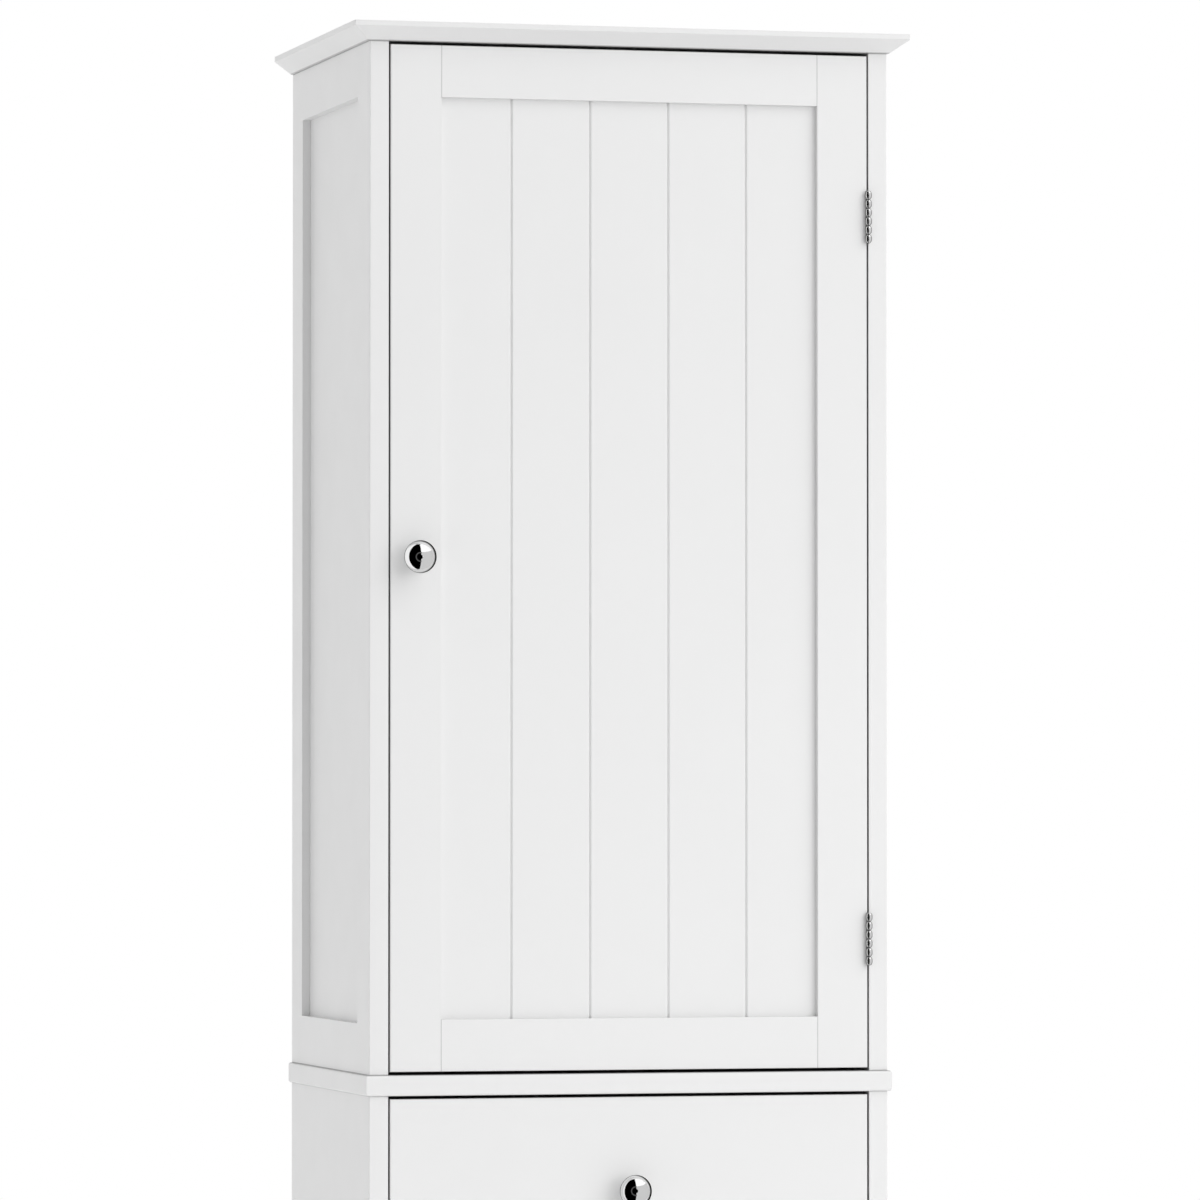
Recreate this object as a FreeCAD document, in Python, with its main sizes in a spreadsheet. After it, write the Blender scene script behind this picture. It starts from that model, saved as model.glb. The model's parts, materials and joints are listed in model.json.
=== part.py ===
import FreeCAD, Part
import math
import os
import Sketcher
from FreeCAD import Placement, Rotation, Vector

# A tall, narrow bathroom cabinet in white painted board: a beadboard door above, a drawer, and a
# door of the same make below, on a base with an arched apron. Millimetres. X runs to the right, Y
# to the back and Z up. The origin is on the floor, in the middle of the object's bounding box.

SIZES = {
    # carcass
    "carcass_width": 414.0,
    "carcass_depth": 282.0,
    "frame_thickness": 15.0,
    "front_post_width": 42.0,
    "rear_post_width": 37.5,
    "side_top_rail": 40.0,
    "side_bottom_rail": 38.5,
    "side_recess": 6.5,
    "side_panel_thickness": 5.0,
    "groove_depth": 7.0,
    "panel_play": 1.0,
    "tenon_play": 0.5,
    "edge_rounding": 0.8,
    # heights, from the floor up
    "base_height": 97.0,
    "foot_opening": 50.0,
    "board_thickness": 15.0,
    "lower_opening": 600.0,
    "drawer_opening": 149.0,
    "waist_thickness": 16.0,
    "upper_opening": 794.0,
    "crown_thickness": 14.0,
    # crown and waist
    "crown_overhang": 15.0,
    "crown_lip": 4.0,
    "crown_bevel_width": 13.5,
    "waist_overhang": 2.7,
    "waist_rounding": 2.0,
    # base
    "apron_foot_width": 42.0,
    "apron_arch_radius": 30.0,
    # back
    "back_thickness": 3.0,
    "back_rebate": 7.0,
    # doors
    "door_thickness": 18.0,
    "door_side_gap": 1.5,
    "door_end_gap": 2.4,
    "stile_width": 40.0,
    "door_rail_height": 40.0,
    "door_recess": 5.0,
    "door_panel_thickness": 6.0,
    "bead_width": 2.4,
    "bead_depth": 1.4,
    "plank_count": 5.0,
    # hinges
    "hinge_height": 41.0,
    "hinge_reach": 15.0,
    "leaf_thickness": 1.2,
    "leaf_gap": 0.3,
    "barrel_radius": 2.6,
    "barrel_clearance": 0.35,
    "knuckle_count": 6.0,
    "knuckle_gap": 0.3,
    "pin_radius": 1.2,
    "pin_clearance": 0.05,
    "hinge_below_door_top": 126.0,
    "hinge_above_door_bottom": 100.0,
    "hinge_hole_radius": 1.5,
    "hinge_countersink_radius": 2.7,
    "hinge_hole_spacing": 24.0,
    # knobs
    "knob_radius": 12.5,
    "knob_projection": 25.0,
    "knob_base_radius": 6.5,
    "knob_base_thickness": 1.5,
    "knob_neck_radius": 4.5,
    "knob_neck_length": 7.0,
    "knob_head_radius": 12.0,
    "knob_head_level": 14.0,
    "knob_rim_level": 16.5,
    "knob_rim_rounding": 3.0,
    "knob_stud_radius": 2.0,
    "knob_stud_length": 12.0,
    "knob_stud_play": 0.05,
    # shelves
    "shelf_thickness": 15.0,
    "shelf_play": 2.0,
    "shelf_setback": 6.0,
    "pin_hole_radius": 2.5,
    "pin_hole_depth": 8.0,
    "pin_hole_inset": 12.0,
    "support_play": 0.05,
    "support_end_play": 0.5,
    "support_reach": 8.0,
    "upper_shelf_low_height": 250.0,
    "upper_shelf_high_height": 520.0,
    "lower_shelf_height": 285.0,
    # drawer
    "drawer_wall": 12.0,
    "drawer_wall_height": 110.0,
    "drawer_side_play": 2.0,
    "drawer_back_play": 8.0,
    "drawer_lift": 8.0,
    "drawer_bottom_thickness": 4.0,
    "drawer_bottom_rise": 8.0,
    "drawer_groove_depth": 6.0,
    "runner_height": 14.0,
    "runner_play": 0.3,
    "runner_rise": 48.0,
    # magnetic catches
    "catch_height": 46.0,
    "catch_magnet_height": 26.0,
    "catch_width": 14.0,
    "catch_depth": 15.0,
    "catch_ear_thickness": 3.0,
    "catch_plate_width": 11.0,
    "catch_plate_height": 36.0,
    "catch_plate_thickness": 1.5,
    "catch_plate_inset": 1.0,
    "catch_air": 0.4,
    "catch_below_top": 70.0,
    # wall fixing
    "wall_rail_height": 60.0,
    "wall_hole_spacing": 240.0,
    "wall_hole_radius": 2.5,
}


class Dim:
    """A length with its value and the formula that binds it to the sheet."""

    def __init__(self, value, formula=None):
        self.value = float(value)
        self.formula = formula or repr(float(value))

    def __add__(self, other):
        other = dim(other)
        return Dim(self.value + other.value, f"({self.formula} + {other.formula})")

    def __sub__(self, other):
        other = dim(other)
        return Dim(self.value - other.value, f"({self.formula} - {other.formula})")

    def __mul__(self, other):
        other = dim(other)
        return Dim(self.value * other.value, f"({self.formula} * {other.formula})")

    def __truediv__(self, other):
        other = dim(other)
        return Dim(self.value / other.value, f"({self.formula} / {other.formula})")

    def __neg__(self):
        return dim(0) - self


def dim(number):
    return number if isinstance(number, Dim) else Dim(number)


class Namespace:
    """Holds the named sizes as attributes."""


doc = FreeCAD.newDocument("TallBathroomCabinet")


def make_sheet():
    """Write the driving sizes into a sheet, and return them as bound lengths."""
    sheet = doc.addObject("Spreadsheet::Sheet", "Sizes")
    named = Namespace()
    for row, (name, value) in enumerate(SIZES.items(), start=1):
        sheet.set(f"A{row}", name)
        sheet.set(f"B{row}", str(value))
        sheet.setAlias(f"B{row}", name)
        setattr(named, name, Dim(value, f"Sizes.{name}"))
    doc.recompute()
    return named


S = make_sheet()
NODES = []

# The planes and levels that the pieces share.
RIGHT = S.carcass_width / 2
LEFT = -RIGHT
FRONT = (S.knob_projection - S.carcass_depth) / 2
BACK = FRONT + S.carcass_depth
INNER_RIGHT = RIGHT - S.frame_thickness
INNER_LEFT = -INNER_RIGHT
INNER_WIDTH = S.carcass_width - S.frame_thickness * 2
LOWER_FLOOR = S.base_height + S.board_thickness
DIVIDER_LEVEL = LOWER_FLOOR + S.lower_opening
DRAWER_FLOOR = DIVIDER_LEVEL + S.board_thickness
WAIST_LEVEL = DRAWER_FLOOR + S.drawer_opening
UPPER_FLOOR = WAIST_LEVEL + S.waist_thickness
CROWN_LEVEL = UPPER_FLOOR + S.upper_opening
INSIDE_BACK = BACK - S.back_thickness

# The hinge pins stand in front of the gap on the right-hand side.
HINGE_X = INNER_RIGHT - S.door_side_gap / 2
HINGE_Y = FRONT - S.barrel_radius - S.barrel_clearance
LEAF_MORTISE = S.leaf_gap / 2 + S.leaf_thickness - S.door_side_gap / 2

DOOR_WIDTH = INNER_WIDTH - S.door_side_gap * 2
DOOR_LEFT = INNER_LEFT + S.door_side_gap
DOOR_BACK = FRONT + S.door_thickness

# The levels of the pins that carry each shelf.
UPPER_SHELVES = {
    "low_shelf": UPPER_FLOOR + S.upper_shelf_low_height,
    "high_shelf": UPPER_FLOOR + S.upper_shelf_high_height,
}
LOWER_SHELVES = {"shelf": LOWER_FLOOR + S.lower_shelf_height}


# ---------------------------------------------------------------- small building steps


def bind(thing, prop, length):
    """Bind one property of a feature to a length."""
    thing.setExpression(prop, dim(length).formula)


def bind_base(thing, corner):
    for axis, length in zip("xyz", corner):
        bind(thing, "Placement.Base." + axis, length)


def new_body(name, at, spin=0):
    """An empty body whose own origin lies at a point, turned about Z by spin degrees."""
    body = doc.addObject("PartDesign::Body", name)
    body.Label = name
    body.Placement = Placement(Vector(), Rotation(Vector(0, 0, 1), spin))
    bind_base(body, at)
    return body


def keep(piece):
    """Mark a finished piece as one that is written out."""
    NODES.append(piece)
    return piece


def block(body, kind, name, size, corner=(0, 0, 0)):
    """Add or cut a box in a body's own frame."""
    box = body.newObject(f"PartDesign::{kind}Box", name)
    for prop, length in zip(("Length", "Width", "Height"), size):
        bind(box, prop, length)
    bind_base(box, corner)
    return box


TURNS = {
    "+X": Rotation(Vector(0, 0, 1), Vector(1, 0, 0)),
    "-X": Rotation(Vector(0, 0, 1), Vector(-1, 0, 0)),
    "+Y": Rotation(Vector(0, 0, 1), Vector(0, 1, 0)),
    "-Y": Rotation(Vector(0, 0, 1), Vector(0, -1, 0)),
    "+Z": Rotation(),
}


def rod(body, kind, name, radius, length, start, along):
    """Add or cut a cylinder that starts at a point and runs along an axis of the body."""
    cylinder = body.newObject(f"PartDesign::{kind}Cylinder", name)
    cylinder.Placement = Placement(Vector(), TURNS[along])
    bind(cylinder, "Radius", radius)
    bind(cylinder, "Height", length)
    bind_base(cylinder, start)
    return cylinder


def cone(body, kind, name, radii, length, start, along):
    """Add or cut a cone, given its radii at the start and at the end."""
    feature = body.newObject(f"PartDesign::{kind}Cone", name)
    feature.Placement = Placement(Vector(), TURNS[along])
    bind(feature, "Radius1", radii[0])
    bind(feature, "Radius2", radii[1])
    bind(feature, "Height", length)
    bind_base(feature, start)
    return feature


def origin_part(body, role):
    """A plane or an axis of the body's own origin."""
    for feature in body.Origin.OriginFeatures:
        if feature.Role == role:
            return feature
    raise ValueError(role)


def arc_between(start, end, radius, side):
    """An arc from start to end that bulges to one side, and its end numbers in that order."""
    chord = end - start
    half = chord.Length / 2
    across = Vector(-chord.y, chord.x, 0).normalize() * side
    centre = (start + end) / 2 - across * math.sqrt(max(radius * radius - half * half, 0))
    angles = [math.atan2(point.y - centre.y, point.x - centre.x) for point in (start, end)]
    circle = Part.Circle(centre, Vector(0, 0, 1), radius)
    if side < 0:
        return Part.ArcOfCircle(circle, angles[0], angles[1]), (1, 2)
    return Part.ArcOfCircle(circle, angles[1], angles[0]), (2, 1)


def outline(body, name, points, arcs=None):
    """A closed sketch on the body's XY plane through bound points.

    arcs gives, for a side that starts at a point's number, its radius and which way it bulges.
    """
    sketch = body.newObject("Sketcher::SketchObject", name)
    sketch.AttachmentSupport = [(origin_part(body, "XY_Plane"), "")]
    sketch.MapMode = "FlatFace"
    corners = [Vector(dim(x).value, dim(y).value, 0) for x, y in points]
    count = len(corners)
    ends = []
    for i in range(count):
        start, end = corners[i], corners[(i + 1) % count]
        if arcs and i in arcs:
            radius, side = arcs[i]
            curve, order = arc_between(start, end, radius.value, side)
        else:
            curve, order = Part.LineSegment(start, end), (1, 2)
        sketch.addGeometry(curve, False)
        ends.append(order)
    for i in range(count):
        following = (i + 1) % count
        joint = Sketcher.Constraint("Coincident", i, ends[i][1], following, ends[following][0])
        sketch.addConstraint(joint)
    for i, point in enumerate(points):
        for kind, length in zip(("DistanceX", "DistanceY"), point):
            place = Sketcher.Constraint(kind, -1, 1, i, ends[i][0], dim(length).value)
            bind(sketch, f"Constraints[{sketch.addConstraint(place)}]", length)
    for i, (radius, _) in (arcs or {}).items():
        size = Sketcher.Constraint("Radius", i, radius.value)
        bind(sketch, f"Constraints[{sketch.addConstraint(size)}]", radius)
    return sketch


def edges_where(body, wanted):
    """The last feature of a body, with the names of its edges whose two ends pass a test."""
    doc.recompute()
    last = body.Tip
    names = []
    for number, edge in enumerate(last.Shape.Edges, start=1):
        ends = [vertex.Point for vertex in edge.Vertexes]
        if len(ends) == 2 and wanted(ends[0], ends[1]):
            names.append(f"Edge{number}")
    return last, names


def soften(body, name, radius, wanted):
    """Round the edges of a body whose two ends pass a test."""
    chosen = edges_where(body, wanted)
    fillet = body.newObject("PartDesign::Fillet", name)
    fillet.Base = chosen
    bind(fillet, "Radius", radius)
    body.Tip = fillet
    return fillet


def near(a, b):
    return abs(a - b) < 1e-4


def local_corner(frame, across, inward, up):
    """A point of a frame, counted across, inward and up from its own corner, in the row's axes."""
    (x, y, z), spin = frame
    if spin == 0:
        return (x + across, y + inward, z + up)
    if spin == -90:
        return (x + inward, y - across, z + up)
    return (x - inward, y + across, z + up)


# ---------------------------------------------------------------- framed panels


def frame_stile(name, frame, across, width, thickness, height, groove, groove_at_end, foot=0):
    """An upright of a frame, with the panel groove in the edge that faces the panel.

    The groove starts above the foot, where the upright goes on down as a leg.
    """
    body = new_body(name, local_corner(frame, dim(across), dim(0), dim(0)), frame[1])
    block(body, "Additive", name + "_stock", (width, thickness, height))
    recess, slot = groove
    start = width - S.groove_depth if groove_at_end else 0
    block(
        body,
        "Subtractive",
        name + "_groove",
        (S.groove_depth, slot, height - foot),
        (start, recess, foot),
    )
    return body


def frame_rail(name, frame, across, up, length, thickness, height, groove, panel_above):
    """A rail of a frame: a groove for the panel, and a stub tenon at each end."""
    body = new_body(name, local_corner(frame, across, dim(0), up), frame[1])
    block(body, "Additive", name + "_stock", (length, thickness, height))
    recess, slot = groove
    groove_level = height - S.groove_depth if panel_above else 0
    block(
        body,
        "Subtractive",
        name + "_groove",
        (length, slot, S.groove_depth),
        (0, recess, groove_level),
    )
    tenon = S.groove_depth - S.tenon_play
    tenon_level = 0 if panel_above else S.groove_depth
    tenon_height = height - S.groove_depth
    for end, start in (("near", -tenon), ("far", length)):
        block(
            body,
            "Additive",
            f"{name}_{end}_tenon",
            (tenon, slot, tenon_height),
            (start, recess, tenon_level),
        )
    return body


def frame_panel(name, frame, across, up, width, height, groove):
    """The thin panel that floats in the grooves of its frame."""
    recess, slot = groove
    bite = S.groove_depth - S.panel_play
    body = new_body(name, local_corner(frame, across - bite, recess, up - bite), frame[1])
    size = (width + bite * 2, slot, height + bite * 2)
    block(body, "Additive", name + "_stock", size)
    return body, size


# ---------------------------------------------------------------- sides


def soften_frame_edges(body, radius, tests):
    """Round the long edges on a frame's outer face (inward = 0) that meet one of the tests."""

    def wanted(a, b):
        if not (near(a.y, 0) and near(b.y, 0)):
            return False
        return any(test(a) and test(b) for test in tests)

    return soften(body, body.Name + "_rounding", radius, wanted)


def side_frame(section, side, floor, top, rails_from, top_rail, bottom_rail):
    """Two posts, two rails and a recessed panel, which make one side of a section."""
    left = side == "left"
    spin = -90 if left else 90
    origin = (LEFT, BACK, floor) if left else (RIGHT, FRONT, floor)
    frame = (origin, spin)
    height = top - floor
    thickness = S.frame_thickness
    groove = (S.side_recess, S.side_panel_thickness)
    first = S.rear_post_width if left else S.front_post_width
    second = S.front_post_width if left else S.rear_post_width
    first_name, second_name = ("rear", "front") if left else ("front", "rear")
    frame_bottom = rails_from - floor
    posts = {}
    posts[first_name] = frame_stile(
        f"{section}_{side}_{first_name}_post",
        frame,
        0,
        first,
        thickness,
        height,
        groove,
        True,
        frame_bottom,
    )
    posts[second_name] = frame_stile(
        f"{section}_{side}_{second_name}_post",
        frame,
        S.carcass_depth - second,
        second,
        thickness,
        height,
        groove,
        False,
        frame_bottom,
    )
    between = S.carcass_depth - first - second
    keep(
        frame_rail(
            f"{section}_{side}_bottom_rail",
            frame,
            first,
            frame_bottom,
            between,
            thickness,
            bottom_rail,
            groove,
            True,
        )
    )
    keep(
        frame_rail(
            f"{section}_{side}_top_rail",
            frame,
            first,
            height - top_rail,
            between,
            thickness,
            top_rail,
            groove,
            False,
        )
    )
    panel, _ = frame_panel(
        f"{section}_{side}_panel",
        frame,
        first,
        frame_bottom + bottom_rail,
        between,
        height - frame_bottom - bottom_rail - top_rail,
        groove,
    )
    keep(panel)
    # the back panel's rebate, along the inner back edge of the rear post
    rebate_start = 0 if left else second - S.back_thickness
    block(
        posts["rear"],
        "Subtractive",
        posts["rear"].Name + "_rebate",
        (S.back_thickness, S.back_rebate, height),
        (rebate_start, thickness - S.back_rebate, 0),
    )
    return posts


def drill_shelf_holes(posts, side, floor, shelves):
    """A blind hole in each post for each shelf's pin."""
    for which, post in posts.items():
        width = S.front_post_width if which == "front" else S.rear_post_width
        panel_is_beyond = (which == "rear") == (side == "left")
        across = width - S.pin_hole_inset if panel_is_beyond else S.pin_hole_inset
        for shelf, level in shelves.items():
            rod(
                post,
                "Subtractive",
                f"{post.Name}_{shelf}_hole",
                S.pin_hole_radius,
                S.pin_hole_depth,
                (across, S.frame_thickness, level - floor),
                "-Y",
            )


def hinge_levels(floor, opening):
    """The middle of a door's two hinges."""
    door_bottom = floor + S.door_end_gap
    door_top = floor + opening - S.door_end_gap
    return {
        "low": door_bottom + S.hinge_above_door_bottom,
        "high": door_top - S.hinge_below_door_top,
    }


def cut_hinge_seats(post, floor, levels):
    """Shallow mortises for the hinge leaves, in the inner face of a front post."""
    for place, level in levels.items():
        block(
            post,
            "Subtractive",
            f"{post.Name}_{place}_mortise",
            (S.hinge_reach, LEAF_MORTISE, S.hinge_height),
            (0, S.frame_thickness - LEAF_MORTISE, level - floor - S.hinge_height / 2),
        )


def finish_posts(section, side, posts):
    """Round the outer front corner of the front post, and keep both posts."""
    front = posts["front"]
    width = S.front_post_width.value
    corner = width if side == "left" else 0.0
    soften_frame_edges(front, S.edge_rounding, [lambda p: near(p.x, corner)])
    keep(front)
    keep(posts["rear"])


def make_sides():
    lower_bottom_rail = LOWER_FLOOR + S.side_bottom_rail - S.foot_opening
    lower_top_rail = WAIST_LEVEL - DIVIDER_LEVEL + S.side_top_rail
    for side in ("left", "right"):
        lower = side_frame(
            "lower",
            side,
            dim(0),
            WAIST_LEVEL,
            S.foot_opening,
            lower_top_rail,
            lower_bottom_rail,
        )
        upper = side_frame(
            "upper",
            side,
            UPPER_FLOOR,
            CROWN_LEVEL,
            UPPER_FLOOR,
            S.side_top_rail,
            S.side_bottom_rail,
        )
        drill_shelf_holes(lower, side, dim(0), LOWER_SHELVES)
        drill_shelf_holes(upper, side, UPPER_FLOOR, UPPER_SHELVES)
        if side == "right":
            cut_hinge_seats(lower["front"], dim(0), hinge_levels(LOWER_FLOOR, S.lower_opening))
            cut_hinge_seats(
                upper["front"], UPPER_FLOOR, hinge_levels(UPPER_FLOOR, S.upper_opening)
            )
        finish_posts("lower", side, lower)
        finish_posts("upper", side, upper)


# ---------------------------------------------------------------- boards


def make_crown():
    """The top board: a lip above a long bevel that runs round the front and both ends."""
    width = S.carcass_width + S.crown_overhang * 2
    depth = S.carcass_depth + S.crown_overhang
    body = new_body(
        "crown_board", (LEFT - S.crown_overhang, FRONT - S.crown_overhang, CROWN_LEVEL)
    )
    block(body, "Additive", "crown_stock", (width, depth, S.crown_thickness))

    def wanted(a, b):
        at_back = near(a.y, depth.value) and near(b.y, depth.value)
        return near(a.z, 0) and near(b.z, 0) and not at_back

    chosen = edges_where(body, wanted)
    bevel = body.newObject("PartDesign::Chamfer", "crown_bevel")
    bevel.Base = chosen
    bevel.ChamferType = "Two distances"
    bind(bevel, "Size", S.crown_thickness - S.crown_lip)
    bind(bevel, "Size2", S.crown_bevel_width)
    body.Tip = bevel

    def at_lip_corner(a, b):
        return near(a.x, b.x) and near(a.y, b.y) and near(a.y, 0)

    soften(body, "crown_rounded_corners", S.edge_rounding, at_lip_corner)
    return keep(body)


def make_waist():
    """The board between the two sections, with rounded edges that stand a little proud."""
    width = S.carcass_width + S.waist_overhang * 2
    depth = S.carcass_depth + S.waist_overhang
    body = new_body(
        "waist_board", (LEFT - S.waist_overhang, FRONT - S.waist_overhang, WAIST_LEVEL)
    )
    block(body, "Additive", "waist_stock", (width, depth, S.waist_thickness))
    notch_start = S.waist_overhang + S.frame_thickness - S.back_rebate
    block(
        body,
        "Subtractive",
        "waist_back_notch",
        (width - notch_start * 2, S.back_thickness, S.waist_thickness),
        (notch_start, depth - S.back_thickness, 0),
    )

    def wanted(a, b):
        level = near(a.z, b.z)
        on_front = near(a.y, 0) and near(b.y, 0)
        on_left = near(a.x, 0) and near(b.x, 0)
        on_right = near(a.x, width.value) and near(b.x, width.value)
        return level and (on_front or on_left or on_right)

    soften(body, "waist_rounded_edges", S.waist_rounding, wanted)
    return keep(body)


def make_inner_board(name, level):
    """A fixed board between the sides, flush with the front and up to the back panel."""
    body = new_body(name, (INNER_LEFT, FRONT, level))
    size = (INNER_WIDTH, S.carcass_depth - S.back_thickness, S.board_thickness)
    block(body, "Additive", name + "_stock", size)
    return keep(body)


def make_back():
    """One thin panel in the rebates of the rear posts, from the base to the wall rail."""
    side = S.frame_thickness - S.back_rebate
    top = CROWN_LEVEL - S.wall_rail_height
    body = new_body("back_panel", (LEFT + side, INSIDE_BACK, S.base_height))
    size = (S.carcass_width - side * 2, S.back_thickness, top - S.base_height)
    block(body, "Additive", "back_stock", size)
    return keep(body)


def make_wall_rail():
    """The rail above the back panel, through which the cabinet is screwed to a wall.

    It lies between the rear posts, and its back edge fills their rebates.
    """
    name = "wall_fixing_rail"
    depth = S.board_thickness
    body = new_body(name, (INNER_LEFT, BACK - depth, CROWN_LEVEL - S.wall_rail_height))
    block(body, "Additive", name + "_stock", (INNER_WIDTH, depth, S.wall_rail_height))
    block(
        body,
        "Additive",
        name + "_back_edge",
        (INNER_WIDTH + S.back_rebate * 2, S.back_thickness, S.wall_rail_height),
        (-S.back_rebate, depth - S.back_thickness, 0),
    )
    for place, way in (("left", -1), ("right", 1)):
        rod(
            body,
            "Subtractive",
            f"{name}_{place}_hole",
            S.wall_hole_radius,
            depth,
            ((INNER_WIDTH + S.wall_hole_spacing * way) / 2, 0, S.wall_rail_height / 2),
            "+Y",
        )
    return keep(body)


def make_apron():
    """The front of the base: a board with a foot at each end and an arch between them."""
    body = new_body("front_apron", (INNER_LEFT, FRONT, dim(0)))
    radius = S.apron_arch_radius
    foot = S.apron_foot_width
    top = S.base_height
    block(body, "Additive", "apron_stock", (INNER_WIDTH, S.frame_thickness, top))
    arch_width = INNER_WIDTH - foot * 2
    block(
        body,
        "Subtractive",
        "apron_arch",
        (arch_width, S.frame_thickness, S.foot_opening),
        (foot, 0, 0),
    )

    def wanted(a, b):
        upper = near(a.z, S.foot_opening.value) and near(b.z, S.foot_opening.value)
        ends = near(a.x, b.x) and not near(a.y, b.y)
        inside = near(a.x, foot.value) or near(a.x, (foot + arch_width).value)
        return upper and ends and inside

    soften(body, "apron_arch_corners", radius, wanted)
    return keep(body)


# ---------------------------------------------------------------- doors


def make_door(name, floor, opening):
    """Two stiles, two rails and a beadboard panel with V grooves between its planks."""
    height = opening - S.door_end_gap * 2
    frame = ((DOOR_LEFT, FRONT, floor + S.door_end_gap), 0)
    thickness = S.door_thickness
    groove = (S.door_recess, S.door_panel_thickness)
    width = S.stile_width
    latch = frame_stile(
        f"{name}_latch_stile", frame, 0, width, thickness, height, groove, True
    )
    hinge = frame_stile(
        f"{name}_hinge_stile",
        frame,
        DOOR_WIDTH - width,
        width,
        thickness,
        height,
        groove,
        False,
    )
    between = DOOR_WIDTH - width * 2
    rail = S.door_rail_height
    bottom = frame_rail(
        f"{name}_bottom_rail", frame, width, dim(0), between, thickness, rail, groove, True
    )
    top = frame_rail(
        f"{name}_top_rail", frame, width, height - rail, between, thickness, rail, groove, False
    )
    panel, size = frame_panel(
        f"{name}_beadboard_panel", frame, width, rail, between, height - rail * 2, groove
    )
    cut_beads(panel, size)
    # the hinge seats in the edge of the hinge stile
    stile_floor = floor + S.door_end_gap
    for place, level in hinge_levels(floor, opening).items():
        block(
            hinge,
            "Subtractive",
            f"{name}_{place}_mortise",
            (LEAF_MORTISE, S.hinge_reach, S.hinge_height),
            (width - LEAF_MORTISE, 0, level - stile_floor - S.hinge_height / 2),
        )
    rod(
        latch,
        "Subtractive",
        f"{name}_knob_hole",
        S.knob_stud_radius + S.knob_stud_play,
        S.knob_stud_length + S.knob_stud_play,
        (width / 2, 0, height / 2),
        "+Y",
    )
    ends = [lambda p: near(p.z, 0), lambda p: near(p.z, height.value)]
    soften_frame_edges(latch, S.edge_rounding, [lambda p: near(p.x, 0)] + ends)
    soften_frame_edges(hinge, S.edge_rounding, ends)
    soften_frame_edges(bottom, S.edge_rounding, [lambda p: near(p.z, 0)])
    soften_frame_edges(top, S.edge_rounding, [lambda p: near(p.z, rail.value)])
    for piece in (latch, hinge, bottom, top, panel):
        keep(piece)


def cut_beads(panel, size):
    """The V grooves where the planks of a beadboard panel meet."""
    width, _, height = size
    plank = width / S.plank_count
    half = S.bead_width / 2
    sketch = outline(
        panel,
        panel.Name + "_bead",
        ((plank - half, 0), (plank + half, 0), (plank, S.bead_depth)),
    )
    pocket = panel.newObject("PartDesign::Pocket", panel.Name + "_first_bead")
    pocket.Profile = sketch
    pocket.Reversed = True
    bind(pocket, "Length", height)
    pattern = panel.newObject("PartDesign::LinearPattern", panel.Name + "_beads")
    pattern.Originals = [pocket]
    pattern.Direction = (origin_part(panel, "X_Axis"), [""])
    bind(pattern, "Length", width - plank * 2)
    bind(pattern, "Occurrences", S.plank_count - 1)
    panel.Tip = pattern


# ---------------------------------------------------------------- hinges


def hinge_leaf(name, level, on_door):
    """One leaf of a butt hinge: a plate that carries every second knuckle of the barrel.

    The plate is notched for the other leaf's knuckles, and has two countersunk holes.
    """
    body = new_body(name, (HINGE_X, HINGE_Y, level - S.hinge_height / 2))
    own = 1 if on_door else 0
    start = -(S.leaf_gap / 2 + S.leaf_thickness) if on_door else S.leaf_gap / 2
    notch = S.barrel_radius + S.barrel_clearance
    plate = (S.leaf_thickness, notch + S.hinge_reach, S.hinge_height)
    block(body, "Additive", name + "_plate", plate, (start, 0, 0))
    segment = S.hinge_height / S.knuckle_count
    half_gap = S.knuckle_gap / 2
    numbers = range(round(S.knuckle_count.value))
    for number in numbers:
        if number % 2 == own:
            rod(
                body,
                "Additive",
                f"{name}_knuckle_{number}",
                S.barrel_radius,
                segment - S.knuckle_gap,
                (0, 0, segment * number + half_gap),
                "+Z",
            )
    for number in numbers:
        if number % 2 != own:
            block(
                body,
                "Subtractive",
                f"{name}_notch_{number}",
                (S.leaf_thickness, notch, segment + S.knuckle_gap),
                (start, 0, segment * number - half_gap),
            )
    bore = S.pin_radius + S.pin_clearance
    rod(body, "Subtractive", name + "_bore", bore, S.hinge_height, (0, 0, 0), "+Z")
    face = -S.leaf_gap / 2 if on_door else S.leaf_gap / 2
    for way, place in ((-1, "low"), (1, "high")):
        cone(
            body,
            "Subtractive",
            f"{name}_{place}_countersink",
            (S.hinge_countersink_radius, S.hinge_hole_radius),
            S.leaf_thickness,
            (
                face,
                notch + S.hinge_reach / 2,
                (S.hinge_height + S.hinge_hole_spacing * way) / 2,
            ),
            "-X" if on_door else "+X",
        )
    return body


def hinge_pin(name, level):
    """The plain pin on which the knuckles of both leaves turn."""
    body = new_body(name, (HINGE_X, HINGE_Y, level - S.hinge_height / 2 + S.knuckle_gap / 2))
    length = S.hinge_height - S.knuckle_gap
    rod(body, "Additive", name + "_shaft", S.pin_radius, length, (0, 0, 0), "+Z")
    return body


def group(name, bodies):
    """Identical pieces that share one node."""
    compound = doc.addObject("Part::Compound", name)
    compound.Label = name
    compound.Links = bodies
    return keep(compound)


def make_hinges():
    doors = {
        "upper": hinge_levels(UPPER_FLOOR, S.upper_opening),
        "lower": hinge_levels(LOWER_FLOOR, S.lower_opening),
    }
    frame_leaves = []
    pins = []
    for door, levels in doors.items():
        door_leaves = []
        for place, level in levels.items():
            tag = f"{door}_{place}"
            frame_leaves.append(hinge_leaf(f"{tag}_frame_leaf", level, False))
            door_leaves.append(hinge_leaf(f"{tag}_door_leaf", level, True))
            pins.append(hinge_pin(f"{tag}_pin", level))
        group(f"{door}_door_hinge_leaves", door_leaves)
    group("frame_hinge_leaves", frame_leaves)
    group("hinge_pins", pins)


# ---------------------------------------------------------------- knobs


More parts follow.
